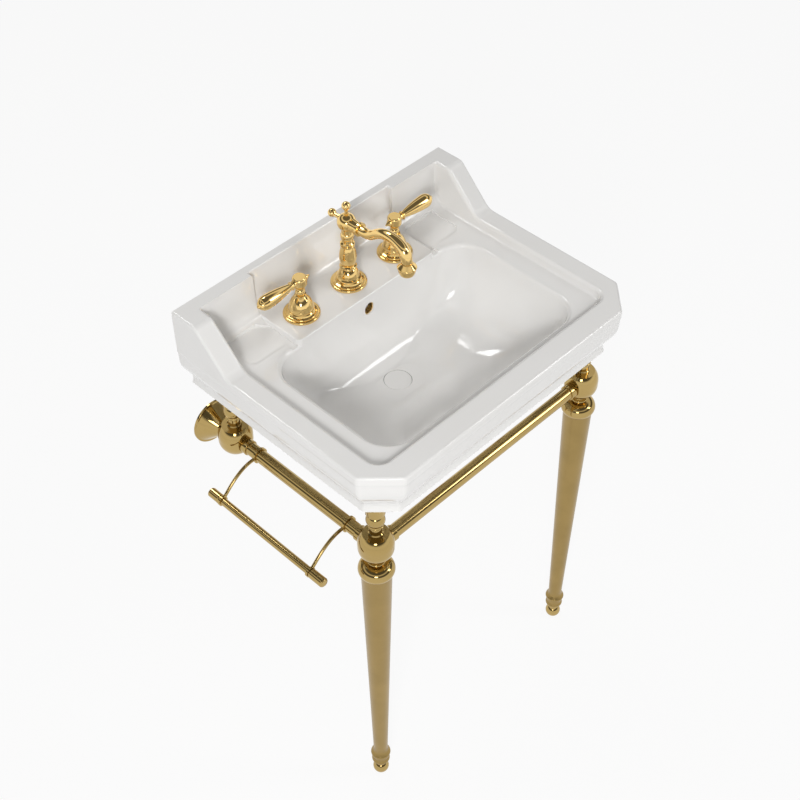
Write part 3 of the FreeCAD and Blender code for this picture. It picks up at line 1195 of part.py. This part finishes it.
def make_rail(doc, d, label, length, x, y, direction):
    """Tube with a collar and a stud at each end; its own origin is the middle of its length."""
    half = length / 2
    tube, collar, soft = d.rail_r, d.collar_r, d.collar_round
    part = turned(doc, label, [
        (0, -half - d.stud), (d.stud_r, -half - d.stud), (d.stud_r, -half), (collar - soft, -half),
        (collar, -half + soft, soft), (collar, -half + d.collar - soft),
        (collar - soft, -half + d.collar, soft), (tube, -half + d.collar),
        (tube, half - d.collar), (collar - soft, half - d.collar),
        (collar, half - d.collar + soft, soft), (collar, half - soft), (collar - soft, half, soft),
        (d.stud_r, half), (d.stud_r, half + d.stud), (0, half + d.stud),
    ])
    outline = sketch(part)
    inner = d.rail_bore_r
    draw(outline, [(0, -half + 8), (inner, -half + 8), (inner, half - 8), (0, half - 8)])
    groove = part.newObject("PartDesign::Groove", label + "_bore")
    groove.Profile = outline
    groove.ReferenceAxis = (outline, ["V_Axis"])
    groove.Angle = 360
    return place(part, x, y, d.ball_z, direction)


def make_flange(doc, d, side, x):
    """Round wall flange, hollow behind, drawn out to a cone that meets the rear ball."""
    end = d.rear_y - d.ball_seat
    wall = d.cup_wall
    bore = d.wall_stud_r + d.stud_gap
    part = turned(doc, "wall_flange_" + side, [
        (d.rosette_r - 4, 0), (d.rosette_r - 1, 0), (d.rosette_r, 1), (d.rosette_r, d.rosette - 1.4),
        (d.rosette_r - 1.4, d.rosette, 1.4), (d.cone_foot_r, d.rosette), (d.cone_tip_r, d.cone_end, -150),
        (d.rosette_tip_r, d.cone_end + 1), (d.rosette_tip_r, end - 0.6), (d.rosette_tip_r - 0.6, end),
        (bore, end), (bore, d.wall_stud_start), (d.cone_tip_r - wall, d.wall_stud_start),
        (d.cone_tip_r - wall + 3, d.cone_end - 6), (d.rosette_r - 4 - wall * 0.6, d.rosette - 0.5),
    ])
    return place(part, x, 0, d.ball_z, V(0, -1, 0))


def make_wall_studs(doc, d):
    """Two identical studs that draw the rear balls onto the wall flanges."""
    part = body(doc, "wall_studs")
    end = d.rear_y - d.ball_seat + d.wall_stud_in
    outline = sketch(part, "XZ_Plane", d.wall_stud_start)
    for side in SIDES.values():
        draw_circle(outline, side * d.leg_x, d.ball_z, d.wall_stud_r)
    extrude(part, outline, end - d.wall_stud_start)
    return part


def make_towel_bar(doc, d):
    """Bar with a thicker turned grip at each end."""
    grip, bar = d.grip_r, d.towel_r
    rear, front = d.towel_rear, d.towel_front
    rear_in = d.arm_rear_y - d.wire_r - d.grip_gap
    front_in = d.arm_front_y + d.wire_r + d.grip_gap
    end = dome(grip - 3, d.towel_dome)
    part = turned(doc, "towel_bar", [
        (0, rear), (grip - 3, rear + d.towel_dome, end), (grip - 0.8, rear + 1.8, 3),
        (grip - 0.8, rear + 2.4), (grip, rear + 3.2), (grip, rear_in - 2.6),
        (grip - 1, rear_in - 1.8), (grip - 1, rear_in),
        (bar, rear_in), (bar, front_in), (grip - 1, front_in), (grip - 1, front_in + 1.8),
        (grip, front_in + 2.6), (grip, front - 3.2), (grip - 0.8, front - 2.4), (grip - 0.8, front - 1.8),
        (grip - 3, front - d.towel_dome, 3), (0, front, end),
    ])
    return place(part, -d.towel_x, 0, d.towel_z, V(0, -1, 0))


def make_towel_arm(doc, d, label, y):
    """Curved wire from a ring round the side rail to an eye round the towel bar."""
    part = body(doc, label)
    drop = d.towel_z - d.ball_z
    out = d.leg_x - d.towel_x
    outline = sketch(part, "XZ_Plane", -d.ring_width / 2)
    draw_circle(outline, 0, 0, d.ring_r)
    draw_circle(outline, out, drop, d.eye_ring_r)
    extrude(part, outline, d.ring_width)
    path = sketch(part, "XZ_Plane")
    start = d.ring_r - 1.7
    shares = [(0.357, 0.049), (0.554, 0.22), (0.745, 0.5), (0.956, 0.9)]
    knots = [V(-start.value, 0, 0)] + [V(out.value * x, drop.value * z, 0) for x, z in shares]
    curve = Part.BSplineCurve()
    curve.interpolate(Points=knots, InitialTangent=V(-1, 0, 0), FinalTangent=V(-1, -0.95, 0))
    path.addGeometry(curve, False)
    outline = sketch(part, "YZ_Plane", -start)
    draw_circle(outline, 0, 0, d.wire_r)
    wire = part.newObject("PartDesign::AdditivePipe", label + "_wire")
    wire.Profile = outline
    wire.Spine = path
    outline = sketch(part, "XZ_Plane", -d.ring_width)
    draw_circle(outline, 0, 0, d.rail_r + d.fit_gap)
    draw_circle(outline, out, drop, d.towel_r + d.fit_gap)
    extrude(part, outline, d.ring_width * 2, cut=True)
    return place(part, -d.leg_x, -y, d.ball_z)


def make_wall_bolts(doc, d):
    """Two identical bolts that hold the basin's back wall; each ends at the wall plane."""
    part = body(doc, "wall_bolts")
    seat = d.cavity_back
    outline = sketch(part, "XZ_Plane")
    for side in SIDES.values():
        draw_circle(outline, side * d.bolt_x, d.bolt_z, d.bolt_r)
    extrude(part, outline, seat + 1)
    outline = sketch(part, "XZ_Plane", seat)
    for side in SIDES.values():
        draw_circle(outline, side * d.bolt_x, d.bolt_z, d.bolt_head_r)
    extrude(part, outline, d.bolt_flange)
    outline = sketch(part, "XZ_Plane", seat)
    for side in SIDES.values():
        corners = []
        for step in range(6):
            angle = math.radians(60 * step)
            x = side * d.bolt_x + d.bolt_hex_r * math.cos(angle)
            corners.append((x, d.bolt_z + d.bolt_hex_r * math.sin(angle)))
        draw(outline, corners)
    extrude(part, outline, d.bolt_head)
    return part


def make_stand(doc, d):
    parts = []
    for side, way in SIDES.items():
        x = way * d.leg_x
        parts += [make_foot(doc, d, side, x), make_leg(doc, d, side, x), make_bun(doc, d, side, x)]
        front = [("YZ_Plane", -way), ("XZ_Plane", 1)]
        rear = [("XZ_Plane", 1), ("XZ_Plane", -1)]
        parts.append(make_ball(doc, d, "ball_front_" + side, x, -d.leg_y, front))
        parts.append(make_ball(doc, d, "ball_rear_" + side, x, -d.rear_y, rear))
        parts.append(make_post(doc, d, "post_front_" + side, x, -d.leg_y))
        parts.append(make_post(doc, d, "post_rear_" + side, x, -d.rear_y))
        parts.append(make_flange(doc, d, side, x))
        side_length = d.leg_y - d.rear_y - d.ball_seat * 2
        middle = -(d.leg_y + d.rear_y) / 2
        parts.append(make_rail(doc, d, "rail_" + side, side_length, x, middle, V(0, 1, 0)))
    front_length = (d.leg_x - d.ball_seat) * 2
    parts.append(make_rail(doc, d, "rail_front", front_length, 0, -d.leg_y, V(1, 0, 0)))
    parts += [
        make_wall_studs(doc, d), make_wall_bolts(doc, d), make_towel_bar(doc, d),
        make_towel_arm(doc, d, "towel_arm_rear", d.arm_rear_y),
        make_towel_arm(doc, d, "towel_arm_front", d.arm_front_y),
    ]
    return parts


def make_waste(doc, d):
    return [
        make_overflow_ring(doc, d), make_drain_cap(doc, d), make_plug_stem(doc, d), make_plug_seal(doc, d),
        make_drain_body(doc, d), make_drain_gasket(doc, d), make_drain_locknut(doc, d),
        make_tailpiece(doc, d),
        make_pivot_nut(doc, d), make_pivot_rod(doc, d), make_lift_rod(doc, d), make_lift_strap(doc, d),
        make_strap_screw(doc, d),
    ]


def check(doc, parts):
    """Stop at the first object that did not build."""
    for item in doc.Objects:
        if "Invalid" in item.State or "Error" in item.State:
            raise RuntimeError(item.Label + " did not build: " + str(item.State))
    for part in parts:
        if part.Shape.isNull() or not part.Shape.isValid() or part.Shape.Volume <= 0:
            raise RuntimeError(part.Label + " has no valid shape")


def main():
    doc = FreeCAD.newDocument("console_sink")
    d = Sheet(doc)
    doc.recompute()
    parts = make_stand(doc, d) + make_waste(doc, d)
    parts += make_tap(doc, d, "hot", -1) + make_tap(doc, d, "cold", 1) + make_spout(doc, d)
    parts.append(make_basin(doc, d))
    doc.recompute()
    check(doc, parts)
    os.makedirs("parts", exist_ok=True)
    for part in parts:
        part.Shape.exportStep("parts/" + part.Label + ".step")
    print(len(parts), "parts written")


main()
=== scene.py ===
import bmesh
import bpy
import json
import math
from mathutils import Matrix, Vector


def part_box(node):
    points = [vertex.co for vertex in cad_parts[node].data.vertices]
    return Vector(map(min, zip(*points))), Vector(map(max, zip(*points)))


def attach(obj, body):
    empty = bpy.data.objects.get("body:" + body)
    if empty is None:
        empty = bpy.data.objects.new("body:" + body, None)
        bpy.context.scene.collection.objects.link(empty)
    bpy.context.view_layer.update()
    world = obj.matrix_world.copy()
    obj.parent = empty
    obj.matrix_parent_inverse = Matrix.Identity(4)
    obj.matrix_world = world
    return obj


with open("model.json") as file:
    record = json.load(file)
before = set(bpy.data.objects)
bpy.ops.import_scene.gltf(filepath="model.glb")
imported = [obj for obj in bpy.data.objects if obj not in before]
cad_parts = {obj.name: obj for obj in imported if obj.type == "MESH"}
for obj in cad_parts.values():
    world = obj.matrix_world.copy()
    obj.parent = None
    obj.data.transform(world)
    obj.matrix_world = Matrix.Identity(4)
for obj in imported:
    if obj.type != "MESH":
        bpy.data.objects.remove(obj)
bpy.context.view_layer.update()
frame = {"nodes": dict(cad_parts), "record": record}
scene = bpy.context.scene
nodes = frame["nodes"]


def set_stops(ramp, stops):
    """Give a colour ramp its (position, colour) stops."""
    points = ramp.color_ramp.elements
    while len(points) < len(stops):
        points.new(0.5)
    for point, (position, color) in zip(points, stops):
        point.position = position
        point.color = (*color, 1)


# ---------------------------------------------------------------- materials

class Shader:
    """A node tree under construction: one Principled surface and the nodes that feed it."""

    def __init__(self, name, **sockets):
        self.material = bpy.data.materials.new(name)
        self.material.use_nodes = True
        self.tree = self.material.node_tree
        self.surface = self.tree.nodes["Principled BSDF"]
        for socket, value in sockets.items():
            self.surface.inputs[socket.replace("_", " ")].default_value = value
        self.place = self.tree.nodes.new("ShaderNodeTexCoord")

    def add(self, kind, links=(), **values):
        """A new node with its input values, and links of (source, its input's name)."""
        made = self.tree.nodes.new(kind)
        for key, value in values.items():
            made.inputs[key].default_value = value
        for source, target in links:
            self.tree.links.new(source, made.inputs[target])
        return made

    def noise(self, scale, detail=3, rough=0.5):
        """Noise fixed to the object; scale counts its features per metre."""
        made = self.add("ShaderNodeTexNoise", [(self.place.outputs["Object"], "Vector")],
                        Scale=scale, Detail=detail, Roughness=rough)
        return made.outputs["Fac"]

    def tone(self, factor, low, high):
        """Base colour that drifts between two tones."""
        made = self.add("ShaderNodeValToRGB", [(factor, "Fac")])
        set_stops(made, ((TONE_START, low), (TONE_END, high)))
        self.feed(made.outputs["Color"], "Base Color")

    def polish(self, factor, low, high):
        """Roughness that drifts between two values."""
        made = self.add("ShaderNodeMapRange", [(factor, "Value")])
        made.inputs["To Min"].default_value = low
        made.inputs["To Max"].default_value = high
        self.feed(made.outputs["Result"], "Roughness")

    def bump(self, height, strength, distance):
        """Relief of a given depth in metres."""
        made = self.add("ShaderNodeBump", [(height, "Height")], Strength=strength, Distance=distance)
        self.feed(made.outputs["Normal"], "Normal")

    def feed(self, output, socket):
        self.tree.links.new(output, self.surface.inputs[socket])


# where in the noise the first tone ends and the second begins
TONE_START, TONE_END = 0.3, 0.7


def grey(value):
    return (value, value, value)


def china():
    """Thick white glaze: faint waviness, a hint of warmth where it pools, and a very smooth skin."""
    made = Shader("china", IOR=1.52, Coat_Weight=0.35, Coat_Roughness=0.02)
    made.tone(made.noise(9, 2), (0.83, 0.822, 0.806), (0.85, 0.844, 0.83))
    made.polish(made.noise(40, 2), 0.07, 0.12)
    made.bump(made.noise(55, 2, 0.4), 0.05, 0.0004)
    return made.material


def brass(name, low, high, rough, grain):
    """Metal whose tone drifts a little between low and high; grain is the strength of its fine relief."""
    made = Shader(name, Metallic=1.0)
    made.tone(made.noise(22, 4), low, high)
    made.polish(made.noise(180, 3), *rough)
    if grain:
        made.bump(made.noise(900, 2), grain, 0.0001)
    return made.material


def rubber():
    made = Shader("rubber", Roughness=0.7)
    made.tone(made.noise(150, 3), grey(0.012), grey(0.03))
    made.bump(made.noise(700, 2), 0.25, 0.0002)
    return made.material


def zinc():
    made = Shader("zinc", Metallic=1.0)
    made.tone(made.noise(120, 4), (0.46, 0.47, 0.49), (0.62, 0.62, 0.6))
    made.polish(made.noise(260, 2), 0.28, 0.45)
    return made.material


MATERIALS = {
    "china": china(),
    # The stand's brass: its own tone, set darker as painted shade standing for a grey floor in its
    # reflections.
    "stand_brass": brass("stand_brass", (0.44, 0.31, 0.115), (0.50, 0.36, 0.14), (0.06, 0.10), 0),
    "faucet_brass": brass("faucet_brass", (0.88, 0.61, 0.23), (0.93, 0.67, 0.28), (0.04, 0.07), 0),
    "waste_brass": brass("waste_brass", (0.58, 0.42, 0.19), (0.68, 0.50, 0.25), (0.22, 0.34), 0.1),
    "seal_rubber": rubber(),
    "bolt_steel": zinc(),
}
# Satin brass for the two legs: the rougher polish is their own finish, but the tone darker than the stand's
# brass is painted shade for the darker floor they reflect.
SHADED_SATIN = brass("stand_satin_painted_shade", (0.34, 0.235, 0.085), (0.39, 0.27, 0.10), (0.26, 0.33), 0.03)
SHADED_SATIN_LEGS = ("leg_left", "leg_right")


def dress():
    """Give every node of the frame the finish of its slot; the two legs are satin, in a darker tone that is
    painted shade.
    """
    for part in frame["record"]["subparts"]:
        piece = nodes[part["node"]]
        piece.data.materials.clear()
        finish = SHADED_SATIN if part["node"] in SHADED_SATIN_LEGS else MATERIALS[part["material_slot"]]
        piece.data.materials.append(finish)


# ---------------------------------------------------------------- gauze in the outlet

GAUZE_RISE = 0.0029      # height of its middle above the aerator's lower edge
GAUZE_REACH = 0.0067     # radius
GAUZE_PITCH = 0.00095    # between neighbouring wires
GAUZE_THICK = 0.00016    # half the thickness of a wire
GAUZE_LINES = range(-6, 7)
SIDEWAYS, FORWARD = Vector((1, 0, 0)), Vector((0, 1, 0))


def weave_wire(mesh, points, across):
    """Thin square wire through a row of points; across is its sideways direction."""
    side, up = across * GAUZE_THICK, Vector((0, 0, GAUZE_THICK))
    rings = [[mesh.verts.new(point + corner) for corner in (side + up, up - side, -side - up, side - up)]
             for point in points]
    for near, far in zip(rings, rings[1:]):
        for i in range(4):
            mesh.faces.new((near[i], near[i - 1], far[i - 1], far[i]))
    for end in (rings[0], rings[-1]):
        mesh.faces.new(end)


def weave_line(mesh, middle, row, along, across, lift):
    """One wire of the gauze, over and under the wires that it crosses."""
    half = math.sqrt(max(0, GAUZE_REACH ** 2 - (row * GAUZE_PITCH) ** 2))
    steps = [step for step in GAUZE_LINES if abs(step * GAUZE_PITCH) < half]
    if len(steps) < 2:
        return
    start = middle + across * (row * GAUZE_PITCH)
    points = [start + along * (step * GAUZE_PITCH) + Vector((0, 0, lift * GAUZE_THICK * (-1) ** (row + step)))
              for step in steps]
    weave_wire(mesh, [start - along * half, *points, start + along * half], across)


def make_gauze():
    """Woven steel gauze across the aerator, just inside its mouth."""
    low, high = (Vector(corner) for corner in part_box("aerator"))
    middle = Vector(((low.x + high.x) / 2, (low.y + high.y) / 2, low.z + GAUZE_RISE))
    mesh = bmesh.new()
    for row in GAUZE_LINES:
        weave_line(mesh, middle, row, SIDEWAYS, FORWARD, 1)
    for row in GAUZE_LINES:
        weave_line(mesh, middle, row, FORWARD, SIDEWAYS, -1)
    bmesh.ops.recalc_face_normals(mesh, faces=mesh.faces)
    data = bpy.data.meshes.new("outlet_gauze")
    mesh.to_mesh(data)
    mesh.free()
    data.materials.append(MATERIALS["bolt_steel"])
    gauze = bpy.data.objects.new("outlet_gauze", data)
    scene.collection.objects.link(gauze)
    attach(gauze, "console")


# ---------------------------------------------------------------- studio

ROOM_TINT, ROOM_LIGHT = (1, 0.99, 0.975, 1), 0.3
# height on the unit sphere, and how bright the room looks there in a reflection
WALL_TONES = ((0.16, 1), (0.30, 0.13), (0.54, 0.13), (0.62, 0.8), (0.72, 0.8), (0.80, 0.13))
WALL_GREEN, WALL_BLUE = 0.98, 0.95     # shares of the tone: everything but pure white is a little warm
FLOOR_HALF = 6
FLOOR_COLOR = (0.86, 0.86, 0.86, 1)
FLOOR_WHITE = 0.9                      # how far the seen floor is plain white; the rest takes the shadow

# name, place, aim, width, height, power in watts, whether polished surfaces show its shape
LAMPS = (
    ("key", (-2.3, -2.1, 2.6), (0, -0.2, 0.8), 0.6, 0.6, 56, False),
    ("window", (-2.1, -2.1, 1.9), (0, -0.2, 0.7), 0.8, 0.6, 12, True),
    ("side", (1.7, -2.2, 2.3), (0, -0.2, 0.7), 0.6, 1.2, 14, True),
    ("top", (0.2, 1.3, 2.9), (0, -0.2, 0.8), 0.7, 0.5, 10, True),
)

CAMERA_PLACE = (-1.1528, -1.3189, 2.2867)
CAMERA_TURN = (-45.512, 45.548, -0.206)    # yaw, pitch and roll in degrees
CAMERA_LENS, CAMERA_SENSOR = 64.062, 36
CAMERA_NEAR = 0.01


def math_node(tree, operation, *inputs):
    """Math node; each input is a number or the output that feeds it. Returns its result."""
    made = tree.nodes.new("ShaderNodeMath")
    made.operation = operation
    for socket, value in zip(made.inputs, inputs):
        if isinstance(value, (int, float)):
            socket.default_value = value
        else:
            tree.links.new(value, socket)
    return made.outputs[0]


def light_path(tree):
    """Whether the viewer sent out a ray, and whether the viewer, a gloss or a clear body did."""
    path = tree.nodes.new("ShaderNodeLightPath")
    viewer = seen = path.outputs["Is Camera Ray"]
    for name in ("Is Glossy Ray", "Is Transmission Ray"):
        seen = math_node(tree, "MAXIMUM", seen, path.outputs[name])
    return viewer, seen


def mix_into(tree, out, share, plain, seen):
    """Send the mix of two shaders to the tree's output."""
    mix = tree.nodes.new("ShaderNodeMixShader")
    tree.links.new(share, mix.inputs[0])
    tree.links.new(plain.outputs[0], mix.inputs[1])
    tree.links.new(seen.outputs[0], mix.inputs[2])
    tree.links.new(mix.outputs[0], out.inputs["Surface"])


def studio_walls(tree, viewer):
    """White for the viewer; a reflection also shows a dark ceiling with one pale band of lamps."""
    place = tree.nodes.new("ShaderNodeTexCoord")
    split = tree.nodes.new("ShaderNodeSeparateXYZ")
    tree.links.new(place.outputs["Generated"], split.inputs[0])
    reflected = math_node(tree, "MULTIPLY_ADD", viewer, -1, 1)
    height = math_node(tree, "MULTIPLY", split.outputs["Z"], reflected)
    ramp = tree.nodes.new("ShaderNodeValToRGB")
    set_stops(ramp, [(position, (tone, tone * WALL_GREEN, tone * WALL_BLUE) if tone < 1 else grey(1))
                     for position, tone in WALL_TONES])
    tree.links.new(height, ramp.inputs["Fac"])
    return ramp.outputs["Color"]


def make_world():
    """Soft even light from a room that the viewer sees as white."""
    world = bpy.data.worlds.new("studio")
    scene.world = world
    world.use_nodes = True
    tree = world.node_tree
    tree.nodes.clear()
    out = tree.nodes.new("ShaderNodeOutputWorld")
    viewer, seen = light_path(tree)
    room = tree.nodes.new("ShaderNodeBackground")
    room.inputs["Color"].default_value = ROOM_TINT
    room.inputs["Strength"].default_value = ROOM_LIGHT
    walls = tree.nodes.new("ShaderNodeBackground")
    tree.links.new(studio_walls(tree, viewer), walls.inputs["Color"])
    mix_into(tree, out, seen, room, walls)


def make_floor():
    """Pale floor that reads as white and keeps a soft shadow."""
    mesh = bpy.data.meshes.new("floor")
    corners = [(-FLOOR_HALF, -FLOOR_HALF, 0), (FLOOR_HALF, -FLOOR_HALF, 0),
               (FLOOR_HALF, FLOOR_HALF, 0), (-FLOOR_HALF, FLOOR_HALF, 0)]
    mesh.from_pydata(corners, [], [(0, 1, 2, 3)])
    floor = bpy.data.objects.new("floor", mesh)
    scene.collection.objects.link(floor)
    material = bpy.data.materials.new("floor")
    material.use_nodes = True
    tree = material.node_tree
    tree.nodes.clear()
    out = tree.nodes.new("ShaderNodeOutputMaterial")
    seen = light_path(tree)[1]
    matt = tree.nodes.new("ShaderNodeBsdfDiffuse")
    matt.inputs["Color"].default_value = FLOOR_COLOR
    glow = tree.nodes.new("ShaderNodeEmission")
    mix_into(tree, out, math_node(tree, "MULTIPLY", seen, FLOOR_WHITE), matt, glow)
    mesh.materials.append(material)


def softbox(name, spot, aim, width, height, power, mirrored):
    """Soft lamp aimed at a point."""
    data = bpy.data.lights.new(name, "AREA")
    data.shape = "RECTANGLE"
    data.size = width
    data.size_y = height
    data.energy = power
    lamp = bpy.data.objects.new(name, data)
    scene.collection.objects.link(lamp)
    lamp.location = spot
    lamp.rotation_euler = (Vector(aim) - Vector(spot)).to_track_quat("-Z", "Y").to_euler()
    lamp.visible_glossy = mirrored


def make_camera():
    """The photograph's viewpoint: yaw, pitch and roll about the frame's axes."""
    yaw, pitch, roll = (math.radians(value) for value in CAMERA_TURN)
    forward = Vector((-math.sin(yaw) * math.cos(pitch), math.cos(yaw) * math.cos(pitch), -math.sin(pitch)))
    level = forward.cross(Vector((0, 0, 1))).normalized()
    right = math.cos(roll) * level + math.sin(roll) * level.cross(forward)
    up = right.cross(forward)
    data = bpy.data.cameras.new("camera")
    data.sensor_width = CAMERA_SENSOR
    data.lens = CAMERA_LENS
    data.clip_start = CAMERA_NEAR
    camera = bpy.data.objects.new("camera", data)
    scene.collection.objects.link(camera)
    turn = Matrix((right, up, -forward)).transposed().to_4x4()
    camera.matrix_world = Matrix.Translation(CAMERA_PLACE) @ turn
    scene.camera = camera


def make_studio():
    make_world()
    make_floor()
    for lamp in LAMPS:
        softbox(*lamp)
    make_camera()
    scene.view_settings.view_transform = "Standard"


dress()
make_gauze()
make_studio()
